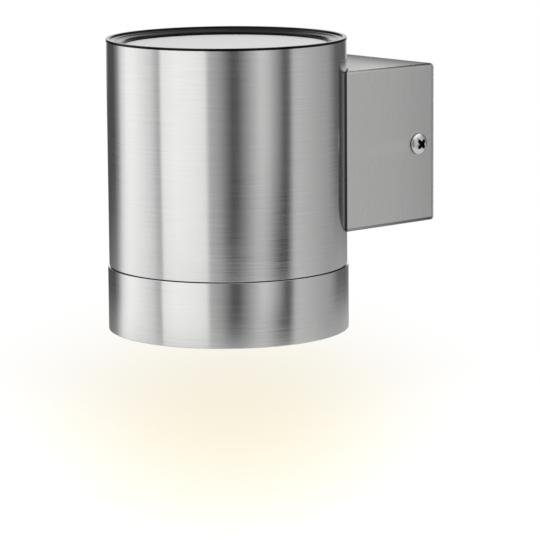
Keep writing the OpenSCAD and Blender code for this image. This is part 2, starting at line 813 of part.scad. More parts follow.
// Plate on the wall, with a tab at each side for the side screws
module wall_plate() {
  color("#b9bcc0") difference() {
    union() {
      block_y(plate_half_w, plate_half_h, plate_corner_r, -plate_t, 0);
      for (s = [-1, 1]) translate([s * (plate_half_w - plate_t / 2), -tab_len / 2, 0])
        cube([plate_t, tab_len, tab_h], center = true);
    }
    for (s = [-1, 1]) {
      for (e = [-1, 1])
        bar_y(slot_w / 2, -plate_t - overrun, overrun, s * slot_x + e * (slot_len - slot_w) / 2, 0);
      translate([s * slot_x, -plate_t / 2, 0])
        cube([slot_len - slot_w, plate_t + 2 * overrun, slot_w], center = true);
      bar_y(block_screw_r + seat_gap, -plate_t - overrun, overrun, s * pole_pitch / 2, block_z);
    }
    bar_y(entry_r + seat_gap, -plate_t - overrun, overrun);
    bar_y(stud_r + seat_gap, -plate_t - overrun, overrun, stud_x, stud_z);
    bar_x(clinch_neck_r + seat_gap, -arm_w, arm_w, side_screw_y);
  }
}

// Threaded inserts for the side screws, in the plate's tabs
module clinch_nuts() {
  outer = plate_half_w;
  inner = plate_half_w - plate_t;
  color("silver") for (s = [0, 1]) mirror([s, 0, 0]) difference() {
    union() {
      bar_x(clinch_neck_r, inner, outer, side_screw_y);
      bar_x(clinch_r, inner - clinch_len, inner, side_screw_y);
    }
    bar_x(side_r + seat_gap, inner - clinch_len - overrun, outer + overrun, side_screw_y);
  }
}

module entry_grommet() {
  color("#191919") difference() {
    union() {
      bar_y(entry_r, -plate_t, 0);
      bar_y(entry_flange_r, -plate_t - entry_flange_t, -plate_t);
    }
    bar_y(entry_bore / 2, -plate_t - entry_flange_t - overrun, overrun);
  }
}

// Children at the three poles of the terminal block
module at_poles() { for (i = [-1:1]) translate([i * pole_pitch, 0, 0]) children(); }

module terminal_block() {
  color("whitesmoke") difference() {
    translate([-block_w / 2, -plate_t - block_d, block_z - block_h / 2])
      cube([block_w, block_d, block_h]);
    at_poles() translate([0, pole_y, block_z - block_h / 2 - overrun])
      cylinder(r = pole_r + pole_gap, h = block_h + 2 * overrun);
    at_poles() for (s = [-1, 1])
      bar_y(pole_screw_r + pole_gap, -plate_t - block_d - overrun, pole_y, 0, block_z + s * pole_screw_up);
    for (s = [-1, 1]) bar_y(block_screw_r + seat_gap, -plate_t - block_d - overrun, 0,
      s * pole_pitch / 2, block_z);
    for (s = [-1, 1]) bar_y(block_head_r + pole_gap, -plate_t - block_d - overrun,
      -plate_t - block_d + block_head_h, s * pole_pitch / 2, block_z);
  }
}

module terminal_clamps() {
  color("#b8963e") at_poles() difference() {
    translate([0, pole_y, block_z - pole_len / 2]) cylinder(r = pole_r, h = pole_len);
    translate([0, pole_y, block_z - pole_len / 2 - overrun])
      cylinder(r = pole_bore_r, h = pole_len + 2 * overrun);
    for (s = [-1, 1])
      bar_y(pole_screw_r + pole_gap, pole_y - pole_r - overrun, pole_y, 0, block_z + s * pole_screw_up);
  }
}

module terminal_screws() {
  outer = -plate_t - block_d + pole_screw_sink;
  color("#b8963e") at_poles() for (s = [-1, 1])
    bar_y(pole_screw_r, outer, pole_y - pole_bore_r, 0, block_z + s * pole_screw_up);
}

module terminal_fixings() {
  face = -plate_t - block_d;
  color("silver") for (s = [-1, 1]) {
    bar_y(block_head_r, face, face + block_head_h, s * pole_pitch / 2, block_z);
    bar_y(block_screw_r, face, -block_tail, s * pole_pitch / 2, block_z);
  }
}

module earth_stud() { color("#b8963e") bar_y(stud_r, -plate_t - stud_len, 0, stud_x, stud_z); }

module earth_nut() {
  seat = -plate_t - lug_t;
  color("#b8963e") difference() {
    bar_y(stud_nut_half * hex_share, seat - stud_nut_h, seat, stud_x, stud_z, 6);
    bar_y(stud_r + seat_gap, seat - stud_nut_h - overrun, seat + overrun, stud_x, stud_z);
  }
}

// Ring lug on the stud, with a crimped barrel that points up
module earth_lug() {
  crimp_y = -plate_t - lug_crimp_r;
  crimp_z = stud_z + lug_neck_len;
  color("silver") difference() {
    union() {
      bar_y(lug_r, -plate_t - lug_t, -plate_t, stud_x, stud_z);
      translate([stud_x - lug_neck_w / 2, -plate_t - lug_t, stud_z])
        cube([lug_neck_w, lug_t, lug_neck_len]);
      translate([stud_x, crimp_y, crimp_z - lug_t]) cylinder(r = lug_crimp_r, h = lug_crimp_len);
    }
    bar_y(stud_r + seat_gap, -plate_t - lug_t - overrun, -plate_t + overrun, stud_x, stud_z);
    translate([stud_x, crimp_y, crimp_z])
      cylinder(r = lead_r + pole_gap, h = lug_crimp_len + overrun);
  }
}

module earth_lead() {
  crimp = [stud_x, -plate_t - lug_crimp_r, stud_z + lug_neck_len + pole_gap];
  mouth = crimp + [0, 0, lug_crimp_len];
  pole = [-pole_pitch, pole_y, block_bottom_z + pole_gap];
  color("#6f9a2f") wire(concat([crimp, mouth],
    curve_points([mouth, mouth + [0, 0, lead_bend], pole - [0, lead_bend, 2 * lead_foot], pole])), lead_r);
}

// Thin seal between the box's back edge and the wall
module wall_seal() {
  color("#e8e8e8") difference() {
    block_y(arm_w / 2, arm_h / 2, bend_r, -wall_seal_t, 0);
    block_y(plate_half_w + wall_seal_gap, plate_half_h + wall_seal_gap, plate_corner_r,
      -wall_seal_t - overrun, overrun);
  }
}

module side_washer() {
  color("#e8e8e8") difference() {
    bar_x(side_washer_r, side_washer_x, side_washer_x + side_washer_t, side_screw_y);
    bar_x(side_r + side_gap, side_washer_x - overrun, side_head_x + overrun, side_screw_y);
  }
}

// Pan-head screw along X with a cross recess, its head on the washer
module side_screw() {
  dome_h = side_head_h - side_head_edge;
  dome_r = (pow(side_head_r, 2) + pow(dome_h, 2)) / (2 * dome_h);
  color("silver") translate([side_head_x, side_screw_y, 0]) rotate([0, 90, 0]) difference() {
    union() {
      intersection() {
        cylinder(r = side_head_r, h = side_head_h);
        translate([0, 0, side_head_h - dome_r]) sphere(r = dome_r);
      }
      translate([0, 0, -side_shank]) cylinder(r = side_r, h = side_shank + side_head_edge);
    }
    for (turn = [0, 90]) rotate([0, 0, recess_turn + turn])
      translate([-recess_arm / 2, -recess_w / 2, side_head_h - recess_depth])
        cube([recess_arm, recess_w, recess_depth + overrun]);
  }
}

module right_screw_washer() { side_washer(); }
module right_screw() { side_screw(); }
module left_screw_washer() { mirror([1, 0, 0]) side_washer(); }
module left_screw() { mirror([1, 0, 0]) side_screw(); }

tube_shell();
cap_ring();
cap_seal_ring();
top_disc();
top_disc_seal();
top_disc_retainer();
thread_collar();
seam_seal();
lower_ring();
ring_thread_insert();
lens();
lens_gasket();
reflector();
led_board();
led_chips();
led_board_screws();
thermal_pad();
heat_sink();
heat_sink_screws();
driver_tray();
driver_cover();
driver_board();
driver_transformer();
driver_capacitors();
driver_bracket();
driver_screws();
live_lead();
neutral_lead();
led_plus_lead();
led_minus_lead();
arm_box();
saddle_plate();
saddle_gasket();
arm_bolts();
arm_washers();
arm_nuts();
lead_grommet();
wall_plate();
clinch_nuts();
entry_grommet();
terminal_block();
terminal_clamps();
terminal_screws();
terminal_fixings();
earth_stud();
earth_nut();
earth_lug();
earth_lead();
wall_seal();
right_screw_washer();
right_screw();
left_screw_washer();
left_screw();
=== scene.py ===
"""Brushed steel tube wall light on a box arm: detailed meshes, materials, studio and camera."""
import math

import bmesh
import bpy
from mathutils import Matrix, Vector


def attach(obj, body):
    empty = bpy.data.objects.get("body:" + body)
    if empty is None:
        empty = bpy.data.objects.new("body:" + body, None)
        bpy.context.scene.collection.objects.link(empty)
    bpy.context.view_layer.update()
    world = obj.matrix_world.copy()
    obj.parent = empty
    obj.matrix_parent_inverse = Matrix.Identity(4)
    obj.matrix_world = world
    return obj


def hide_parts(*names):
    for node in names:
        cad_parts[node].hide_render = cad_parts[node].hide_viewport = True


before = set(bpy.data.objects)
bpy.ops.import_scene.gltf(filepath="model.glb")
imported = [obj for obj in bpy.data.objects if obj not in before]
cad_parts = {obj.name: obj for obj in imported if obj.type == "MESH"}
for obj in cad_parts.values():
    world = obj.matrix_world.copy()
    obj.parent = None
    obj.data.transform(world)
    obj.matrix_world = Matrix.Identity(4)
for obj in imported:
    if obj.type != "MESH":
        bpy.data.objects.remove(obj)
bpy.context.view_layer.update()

MM = 0.001
TAU = 2 * math.pi

# Sizes of the part, in millimetres, in the CAD frame
AXIS_Y = -73.5
TUBE_R, TUBE_IR, TUBE_TOP, TUBE_BOT = 45.0, 43.8, 42.0, -42.4
RING_R, RING_TOP, RING_BOT, LIP_IR, LENS_BOT, LENS_TOP = 45.5, -42.75, -67.05, 39.5, -65.55, -62.05
PRESS_R, THREAD_R, COLLAR_IR, LEDGE_IR = 43.75, 41.3, 39.5, 33.0
COLLAR_TOP, LEDGE_BOT, COLLAR_BOT = -25.5, -28.0, -61.05
COLLAR_REBATE, COLLAR_REBATE_H, COLLAR_NOSE = 0.9, 1.0, 0.55
INSERT_IR, INSERT_TOP, LENS_R = 41.6, -43.75, 41.2
CAP_R, CAP_RIM_IR, CAP_IR, CAP_LIP_IR, DISC_R, POCKET_R = 45.1, 43.6, 39.3, 38.7, 40.4, 40.6
CAP_TOP, CAP_FACE_TOP, CAP_FACE_LOW, CAP_LIP_TOP = 42.9, 42.3, 41.4, 41.0
CAP_STEP_R, CAP_STEP_TOP, CAP_STEP_LOW = 41.6, 42.0, 41.8
DISC_TOP, DISC_T, SPIGOT_BOT = 40.1, 1.0, 35.0
SEAL_Z, SEAL_GROOVE, SEAL_SLACK = 37.1, 1.4, 0.85
BOX_HALF_W, BOX_HALF_H, BOX_WALL, BEND_R, BOX_BACK = 35.5, 30.25, 1.0, 1.5, -0.5
EDGE_R, EDGE_INSET = 0.6, 0.85
SADDLE_IR = 45.6
SCREW_Y, SCREW_HOLE_R, SCREW_SEAT = -8.2, 2.2, 35.8
SCREW_R, SCREW_LEN, HEAD_R, HEAD_EDGE, HEAD_H = 2.0, 12.0, 4.0, 0.5, 2.0
SCREW_PITCH, SCREW_THREAD, SCREW_TIP_R, SCREW_NECK = 0.7, 0.38, 0.3, 1.0
RECESS_ARM, RECESS_W, RECESS_DEPTH, RECESS_NECK = 2.3, 0.7, 1.3, 0.6
RECESS_TAPER, RECESS_TILT = (0.55, 1.0, 1.1), math.radians(45)
RING_PITCH, RING_THREAD = 2.0, 0.85
BOLT_Z, BOLT_HOLE_R, GROMMET_R = 17.0, 2.65, 5.05
HOLE_FROM, HOLE_TO, SIDE_HOLE_REACH = -35, -20, 4

# Finish of the meshes: usual rounding in millimetres, welding distance in metres, points round a turn
EASE = 0.15
WELD = 2e-6
TURNS, THREAD_TURNS, SCREW_TURNS = 384, 160, 72
# Corners flatter than STRAIGHT stay as they are; a rounding takes at most MAX_REACH of a side
STRAIGHT, MAX_REACH = math.radians(88), 0.49
# Edges sharper than these angles in degrees are shaded sharp
SHARP, THREAD_SHARP, BOX_SHARP, SCREW_SHARP = 32.0, 40, 34, 30
# Threads: steps in a pitch, length over which the ends fade, shares of the wave at root and flank
RING_STEPS, RING_RUNOUT, SCREW_STEPS, SCREW_RUNOUT = 12, 1.0, 10, 0.5
ROOT_SHARE, FLANK_SHARE = 0.12, 0.62

# Camera, solved from the outline of the tube in the photograph
VIEW_TURN = 0.86957
VIEW_DISTANCE, VIEW_HEIGHT = 1.13596, 0.15077
VIEW_YAW, VIEW_PITCH, VIEW_ROLL = 0.01384, -0.17126, -0.00754
FOCAL_PX, IMAGE_PX, SENSOR_MM = 3042.654, 540, 36.0


# Meshes

def mesh_object(name, verts, faces, sharp=SHARP):
    """Object from points in millimetres, smooth but for edges sharper than the given angle."""
    mesh = bpy.data.meshes.new(name)
    mesh.from_pydata([Vector(v) * MM for v in verts], [], faces)
    mesh.validate()
    mesh.polygons.foreach_set("use_smooth", [True] * len(mesh.polygons))
    mesh.set_sharp_from_angle(angle=math.radians(sharp))
    obj = bpy.data.objects.new(name, mesh)
    bpy.context.scene.collection.objects.link(obj)
    return obj


def eased(corners, radius=EASE, steps=4):
    """Closed outline with each corner rounded; a corner may carry its own radius as a third value."""
    out = []
    count = len(corners)
    for i, corner in enumerate(corners):
        here = Vector(corner[:2])
        back = Vector(corners[i - 1][:2]) - here
        ahead = Vector(corners[(i + 1) % count][:2]) - here
        r = corner[2] if len(corner) > 2 else radius
        half = back.angle(ahead) / 2
        if r <= 0 or half > STRAIGHT:
            out.append(tuple(here))
            continue
        reach = min(r / math.tan(half), MAX_REACH * back.length, MAX_REACH * ahead.length)
        start, end = here + back.normalized() * reach, here + ahead.normalized() * reach
        for k in range(steps + 1):
            t = k / steps
            out.append(tuple((1 - t) ** 2 * start + 2 * t * (1 - t) * here + t * t * end))
    return out


def ring_row(r, z, turns):
    """Points of a circle about Z, anticlockwise from +X."""
    return [(r * math.cos(TAU * k / turns), r * math.sin(TAU * k / turns), z) for k in range(turns)]


def lathe(name, outline, turns=TURNS, sharp=SHARP):
    """Closed (r, z) outline turned round the tube's axis; points at r = 0 become poles."""
    verts, rings = [], []
    for r, z in outline:
        if r < 1e-6:
            rings.append([len(verts)] * turns)
            verts.append((0, AXIS_Y, z))
        else:
            first = len(verts)
            rings.append(list(range(first, first + turns)))
            verts += [(x, AXIS_Y + y, z) for x, y, z in ring_row(r, z, turns)]
    faces = []
    for a, b in zip(rings, rings[1:] + rings[:1]):
        for k in range(turns):
            quad = [a[k], a[(k + 1) % turns], b[(k + 1) % turns], b[k]]
            quad = [v for i, v in enumerate(quad) if v != quad[i - 1]]
            if len(quad) > 2:
                faces.append(quad)
    return mesh_object(name, verts, faces, sharp)


def thread_wave(turn):
    """Height of a thread's flank, 0 at its root and 1 at its crest, over one turn."""
    t = turn % 1.0
    rise = min(max((0.5 - abs(t - 0.5)) * 2, 0), 1)
    return min(max((rise - ROOT_SHARE) / FLANK_SHARE, 0), 1)


def threaded_grid(r_crest, r_root, z_low, z_high, pitch, turns, steps, runout):
    """Rows of points, from z_low up, of a right-hand thread that fades at its ends."""
    count = max(2, round((z_high - z_low) / pitch * steps))
    rows = []
    for j in range(count + 1):
        z = z_low + (z_high - z_low) * j / count
        fade = min(1, (z - z_low) / runout, (z_high - z) / runout)
        row = []
        for k in range(turns):
            lift = thread_wave(z / pitch - k / turns) * fade
            r = r_root + (r_crest - r_root) * (lift if r_crest > r_root else 1 - (1 - lift) * fade)
            row.append((r * math.cos(TAU * k / turns), r * math.sin(TAU * k / turns), z))
        rows.append(row)
    return rows


def skin(name, rows, closed, place, sharp=SHARP):
    """Mesh over rows of equal length; closed joins the last row to the first, else both ends get a cap."""
    turns = len(rows[0])
    verts = [place(Vector(p)) for row in rows for p in row]
    faces = []
    pairs = list(range(len(rows) - 1)) + ([len(rows) - 1] if closed else [])
    for j in pairs:
        a, b = j * turns, ((j + 1) % len(rows)) * turns
        faces += [[a + k, a + (k + 1) % turns, b + (k + 1) % turns, b + k] for k in range(turns)]
    if not closed:
        faces.append(list(range(turns))[::-1])
        faces.append([len(verts) - turns + k for k in range(turns)])
    return mesh_object(name, verts, faces, sharp)


def on_axis(p):
    return p + Vector((0, AXIS_Y, 0))


def cut(obj, cutters, sharp=SHARP):
    """Subtracts the cutters, deletes them, and welds the points that the cut leaves too close."""
    for cutter in cutters:
        step = obj.modifiers.new("cut", "BOOLEAN")
        step.operation, step.solver, step.object = "DIFFERENCE", "EXACT", cutter
    bpy.context.view_layer.update()
    done = bpy.data.meshes.new_from_object(obj.evaluated_get(bpy.context.evaluated_depsgraph_get()))
    obj.modifiers.clear()
    weld = bmesh.new()
    weld.from_mesh(done)
    bmesh.ops.remove_doubles(weld, verts=weld.verts, dist=WELD)
    bmesh.ops.dissolve_degenerate(weld, edges=weld.edges, dist=WELD)
    weld.to_mesh(done)
    weld.free()
    obj.data = done
    done.name = obj.name
    done.set_sharp_from_angle(angle=math.radians(sharp))
    for cutter in cutters:
        bpy.data.objects.remove(cutter)
    return obj


def bar(axis, r, low, high, centre, turns=64):
    """Cutter: round bar along X or Y."""
    def place(p):
        along = Vector((p.z, p.x, p.y)) if axis == "X" else Vector((p.y, p.z, p.x))
        return along + Vector(centre)

    return skin("cutter", [ring_row(r, low, turns), ring_row(r, high, turns)], False, place)


def tube_piece():
    tube = lathe("tube_steel_body", eased([
        (TUBE_R, TUBE_BOT, 0.12), (TUBE_R, TUBE_TOP, 0.1), (TUBE_IR, TUBE_TOP), (TUBE_IR, TUBE_BOT)]))
    holes = [bar("Y", r, HOLE_FROM, HOLE_TO, (0, 0, z))
             for r, z in ((BOLT_HOLE_R, BOLT_Z), (BOLT_HOLE_R, -BOLT_Z), (GROMMET_R, 0))]
    return cut(tube, holes)


def lower_ring_piece():
    return lathe("lower_ring_body", eased([
        (TUBE_IR, LENS_BOT), (LIP_IR, LENS_BOT, 0.1), (LIP_IR, RING_BOT, 0.35),
        (RING_R, RING_BOT, 0.35), (RING_R, RING_TOP, 0.12), (TUBE_IR, RING_TOP)]))


def cap_ring_piece():
    groove_r = PRESS_R - SEAL_GROOVE
    return lathe("cap_ring_body", eased([
        (CAP_R, TUBE_TOP, 0.05), (CAP_R, CAP_TOP, 0.2), (CAP_RIM_IR, CAP_TOP - 0.02, 0.12),
        (CAP_RIM_IR - 0.1, CAP_FACE_TOP, 0.25), (CAP_STEP_R, CAP_STEP_TOP, 0.2),
        (CAP_STEP_R - 0.1, CAP_STEP_LOW, 0.1), (CAP_IR, CAP_FACE_LOW, 0.2), (CAP_LIP_IR, CAP_LIP_TOP, 0.2),
        (CAP_LIP_IR, DISC_TOP, 0), (POCKET_R, DISC_TOP, 0),
        (POCKET_R, SPIGOT_BOT), (PRESS_R, SPIGOT_BOT, 0.3), (PRESS_R, SEAL_Z - SEAL_SLACK, 0.05),
        (groove_r, SEAL_Z - SEAL_SLACK, 0), (groove_r, SEAL_Z + SEAL_SLACK, 0),
        (PRESS_R, SEAL_Z + SEAL_SLACK, 0.05), (PRESS_R, TUBE_TOP, 0)]))


def disc_piece():
    return lathe("top_disc_body", eased([
        (0, DISC_TOP - DISC_T, 0), (DISC_R, DISC_TOP - DISC_T, 0.1), (DISC_R, DISC_TOP, 0.1),
        (0, DISC_TOP, 0)]))


def seam_piece():
    return lathe("seam_seal_body", eased([
        (TUBE_R - 0.4, RING_TOP, 0.08), (TUBE_R - 0.4, TUBE_BOT, 0.08), (THREAD_R + 0.1, TUBE_BOT, 0),
        (THREAD_R + 0.1, RING_TOP, 0)]))


def lens_piece():
    return lathe("lens_body", eased([
        (0, LENS_BOT, 0), (LENS_R, LENS_BOT, 0.3), (LENS_R, LENS_TOP, 0.3), (0, LENS_TOP, 0)]))


def collar_piece():
    """Collar with its real thread on the skirt and the ledge under the heat sink."""
    turns = THREAD_TURNS
    rows = [ring_row(r, z, turns) for r, z in (
        (COLLAR_IR, LEDGE_BOT), (COLLAR_IR, COLLAR_BOT + COLLAR_REBATE_H),
        (THREAD_R - COLLAR_REBATE, COLLAR_BOT + COLLAR_REBATE_H),
        (THREAD_R - COLLAR_REBATE, COLLAR_BOT), (THREAD_R - COLLAR_NOSE, COLLAR_BOT))]
    rows += threaded_grid(THREAD_R, THREAD_R - RING_THREAD, COLLAR_BOT + 0.15, TUBE_BOT - 0.6,
                          RING_PITCH, turns, RING_STEPS, RING_RUNOUT)
    rows += [ring_row(r, z, turns) for r, z in (
        (THREAD_R - RING_THREAD, TUBE_BOT), (PRESS_R, TUBE_BOT), (PRESS_R, COLLAR_TOP),
        (LEDGE_IR, COLLAR_TOP), (LEDGE_IR, LEDGE_BOT))]
    return skin("thread_collar_body", rows, True, on_axis, THREAD_SHARP)


def insert_piece():
    """Insert of the lower ring, with the thread that runs on the collar."""
    turns = THREAD_TURNS
    rows = threaded_grid(INSERT_IR, INSERT_IR + RING_THREAD, LENS_BOT, INSERT_TOP,
                         RING_PITCH, turns, RING_STEPS, RING_RUNOUT)
    rows += [ring_row(PRESS_R, INSERT_TOP, turns), ring_row(PRESS_R, LENS_BOT, turns)]
    return skin("ring_thread_insert_body", rows[::-1], True, on_axis, THREAD_SHARP)


def box_outline(inset, corner_steps=7):
    """Points and outward directions round the box, seen along Y, anticlockwise from +X."""
    out = []
    r = BEND_R - inset
    w, h = BOX_HALF_W - inset - r, BOX_HALF_H - inset - r
    for quarter, (sx, sz) in enumerate(((1, 1), (-1, 1), (-1, -1), (1, -1))):
        for k in range(corner_steps + 1):
            a = TAU / 4 * (quarter + k / corner_steps)
            nx, nz = math.cos(a), math.sin(a)
            out.append((sx * w + r * nx, sz * h + r * nz, nx, nz))
    return out


def box_contour(inset, flat_steps=40):
    """Box outline with its flats split, so that the front edge can follow the tube."""
    corners = box_outline(inset)
    out = []
    for i, here in enumerate(corners):
        ahead = corners[(i + 1) % len(corners)]
        out.append(here)
        gap = math.hypot(ahead[0] - here[0], ahead[1] - here[1])
        if gap > BEND_R * 2:
            out += [tuple(here[n] + (ahead[n] - here[n]) * k / flat_steps for n in range(4))
                    for k in range(1, flat_steps)]
    return out


def box_piece():
    """Folded sheet: four bends along Y, front cut to the tube's curve, rounded back edge."""
    outer, inner = box_contour(0), box_contour(BOX_WALL)
    steps = 6

    def front(x):
        return AXIS_Y + math.sqrt(SADDLE_IR ** 2 - x ** 2)

    def row(contour, y=None, inset=0.0):
        return [(x - inset * nx, front(x) if y is None else y, z - inset * nz) for x, z, nx, nz in contour]

    rows = [row(inner), row(outer)]
    for k in range(steps + 1):
        a = TAU / 4 * k / steps
        rows.append(row(outer, BOX_BACK - EDGE_R * (1 - math.sin(a)),
                        EDGE_R * EDGE_INSET * (1 - math.cos(a))))
    rows.append(row(inner, BOX_BACK))
    box = skin("arm_box_body", rows, True, lambda p: p, BOX_SHARP)
    unfold(box.data)
    holes = [bar("X", SCREW_HOLE_R, x - SIDE_HOLE_REACH, x + SIDE_HOLE_REACH, (0, SCREW_Y, 0))
             for x in (BOX_HALF_W, -BOX_HALF_W)]
    return cut(box, holes)


def unfold(mesh):
    """UV map of the folded sheet: U round the box, V along it, both in metres."""
    uv = mesh.uv_layers.new(name="fold")
    for face in mesh.polygons:
        across = abs(face.normal.x) > abs(face.normal.z)
        for corner in face.loop_indices:
            p = mesh.vertices[mesh.loops[corner].vertex_index].co
            uv.data[corner].uv = (p.z if across else p.x, p.y)


def recess_cutter(place):
    """Cross-shaped tapered cutter with rounded arm ends."""
    arm, w = RECESS_ARM, RECESS_W
    outline = []
    for quarter in range(4):
        turn = Matrix.Rotation(TAU / 4 * quarter, 2)
        tip = [(arm - w + w * math.cos(a), w * math.sin(a)) for a in
               (-TAU / 4, -TAU / 6, -TAU / 12, 0, TAU / 12, TAU / 6, TAU / 4)]
        notch = [(w * 1.5, w * 1.02), (w * 1.15, w * 1.15), (w * 1.02, w * 1.5)]
        outline += [turn @ Vector(p) for p in tip + notch]
    heights = (HEAD_H - RECESS_DEPTH, HEAD_H - RECESS_NECK, HEAD_H + 0.5)
    rows = [[(p.x * s, p.y * s, z) for p in outline] for s, z in zip(RECESS_TAPER, heights)]
    cutter = skin("cutter", rows, False, place)
    cutter.data.polygons.foreach_set("material_index", [1] * len(cutter.data.polygons))
    return cutter


def screw_piece(side, name):
    """Pan-head machine screw along X with a cross recess and its thread."""
    turns = SCREW_TURNS
    dome_h = HEAD_H - HEAD_EDGE
    dome_r = (HEAD_R ** 2 + dome_h ** 2) / (2 * dome_h)

    def place(p):
        x = p.x * math.cos(RECESS_TILT) - p.y * math.sin(RECESS_TILT)
        y = p.x * math.sin(RECESS_TILT) + p.y * math.cos(RECESS_TILT)
        return Vector((side * (SCREW_SEAT + p.z), SCREW_Y + y, -side * x))

    # Blunt tip, thread, then neck, underside and edge of the head
    root_r = SCREW_R - SCREW_THREAD
    rows = [ring_row(r, z, turns) for r, z in (
        (SCREW_TIP_R, -SCREW_LEN), (SCREW_R - 0.55, -SCREW_LEN), (root_r, -SCREW_LEN + 0.3))]
    rows += threaded_grid(SCREW_R, root_r, -SCREW_LEN + 0.35, -SCREW_NECK,
                          SCREW_PITCH, turns, SCREW_STEPS, SCREW_RUNOUT)
    rows += [ring_row(r, z, turns) for r, z in (
        (SCREW_R - 0.1, -0.7), (SCREW_R, -0.1), (SCREW_R + 0.1, 0), (HEAD_R - 0.15, 0),
        (HEAD_R - 0.04, 0.05), (HEAD_R, 0.16), (HEAD_R, HEAD_EDGE - 0.1),
        (HEAD_R - 0.04, HEAD_EDGE + 0.02))]

    # Dome of the head
    reach = math.asin((HEAD_R - 0.1) / dome_r)
    steps = 16
    for k in range(steps):
        a = reach * (1 - k / steps)
        rows.append(ring_row(dome_r * math.sin(a), HEAD_H - dome_r * (1 - math.cos(a)), turns))
    rows.append(ring_row(0.02, HEAD_H, turns))
    screw = skin(name, rows, False, place, SCREW_SHARP)
    for finish in ("fastener_steel", "recess_shade"):
        screw.data.materials.append(materials[finish])
    return cut(screw, [recess_cutter(place)])


# Materials

class Shader:
    """Small helper round one node tree."""

    def __init__(self, tree):
        self.tree = tree
        self.links = tree.links

    def add(self, kind, inputs=(), **settings):
        """New node; inputs are (name or index, value or output) pairs."""
        node = self.tree.nodes.new("ShaderNode" + kind)
        for key, value in settings.items():
            setattr(node, key, value)
        for key, value in inputs:
            if isinstance(value, bpy.types.NodeSocket):
                self.links.new(value, node.inputs[key])
            else:
                node.inputs[key].default_value = value
        return node

    def math(self, operation, *values):
        return self.add("Math", list(enumerate(values)), operation=operation).outputs[0]

    def span(self, value, low, high, to_low=0.0, to_high=1.0, smooth=False):
        """Value remapped from low..high to to_low..to_high, and held outside."""
        node = self.add("MapRange", [("Value", value), ("From Min", low), ("From Max", high),
                                     ("To Min", to_low), ("To Max", to_high)], clamp=True)
        if smooth:
            node.interpolation_type = "SMOOTHSTEP"
        return node.outputs["Result"]

    def mix(self, factor, a, b):
        """Colours a and b mixed by factor; 0, 6, 7 and the output 2 are the node's colour sockets."""
        return self.add("Mix", [(0, factor), (6, a), (7, b)], data_type="RGBA").outputs[2]

    def ramp(self, factor, stops):
        """Colour ramp over (position, colour) stops."""
        node = self.add("ValToRGB", [("Fac", factor)])
        points = node.color_ramp.elements
        while len(points) < len(stops):
            points.new(1.0)
        for point, (place, colour) in zip(points, stops):
            point.position = place
            point.color = colour
        return node.outputs["Color"]

    def noise(self, vector, scale, detail=3.0, roughness=0.5):
        return self.add("TexNoise", [("Vector", vector), ("Scale", scale), ("Detail", detail),
                                     ("Roughness", roughness)]).outputs["Fac"]

    def stretched(self, vector, scale):
        return self.add("Mapping", [("Vector", vector), ("Scale", scale)]).outputs["Vector"]


def rgba(colour):
    return (*colour, 1.0)


def shade(colour, factor):
    return rgba([min(max(c * factor, 0), 1) for c in colour])


# Fine grain, and what it and the slow blotches each give to the roughness
GRAIN_DETAIL, GRAIN_ROUGH = 4.0, 0.6
FINE_SHARE, SLOW_SHARE, NOISE_SPAN = 0.7, 0.3, (0.3, 0.7)
# Slow blotches; worn edges by Pointiness, their tone and how much smoother they are
BLOTCH_SCALE, BLOTCH_DETAIL, BLOTCH_SHADE = 45.0, 2.0, 0.8
WORN_EDGE, WORN_SHADE, WORN_POLISH = (0.52, 0.6), 1.5, 0.1
# Box: pale film on faces that look up, partly dust and partly painted light that fades from the tube to the
# wall (Z of the normal, depth along Y, added roughness)
DUST_AND_LIGHT = (0.79, 0.79, 0.78)
FILM_UP, FILM_DEPTH, FILM_ROUGH = (0.96, 0.995), (-0.04, 0.0), 0.3
# Box: painted shade as dark lines in the upper and lower folds, and painted shade towards the wall
PAINTED_SHADE = (0.05, 0.05, 0.05)
UPPER_FOLD, LOWER_FOLD = ((0.5, 0.7), (0.93, 0.98)), ((-0.75, -0.6), (-0.14, -0.07))
FOLD_DEPTH, FOLD_SHARES = (-0.05, 0.0), (0.4, 0.85)
WALL_DEPTH, WALL_SHARES = (-0.022, 0.0), (0.0, 0.09)


def box_shade_light_and_dust(s, place, tone, dust_and_light):
    """Box's tone with painted shade in the folds and towards the wall, and a pale film that is partly dust
    and partly painted light; also the share of that film.
    """
    up = s.add("SeparateXYZ", [(0, s.add("NewGeometry").outputs["Normal"])]).outputs["Z"]
    depth = s.add("SeparateXYZ", [(0, place)]).outputs["Y"]
    film = s.math("MULTIPLY", s.span(up, *FILM_UP), s.span(depth, *FILM_DEPTH, *dust_and_light))
    fold = s.math("MAXIMUM", *(s.math("MULTIPLY", s.span(up, *start), s.span(up, *end, 1.0, 0.0))
                               for start, end in (UPPER_FOLD, LOWER_FOLD)))
    share = s.math("MULTIPLY", fold, s.span(depth, *FOLD_DEPTH, *FOLD_SHARES))
    # Painted shade: dark lines along the upper and lower folds
    tone = s.mix(share, tone, rgba(PAINTED_SHADE))
    # Painted shade: darker towards the wall
    tone = s.mix(s.span(depth, *WALL_DEPTH, *WALL_SHARES), tone, rgba(PAINTED_SHADE))
    # Pale film on the top: dust, and painted light that fades from the tube to the wall
    return s.mix(film, tone, rgba(DUST_AND_LIGHT)), film


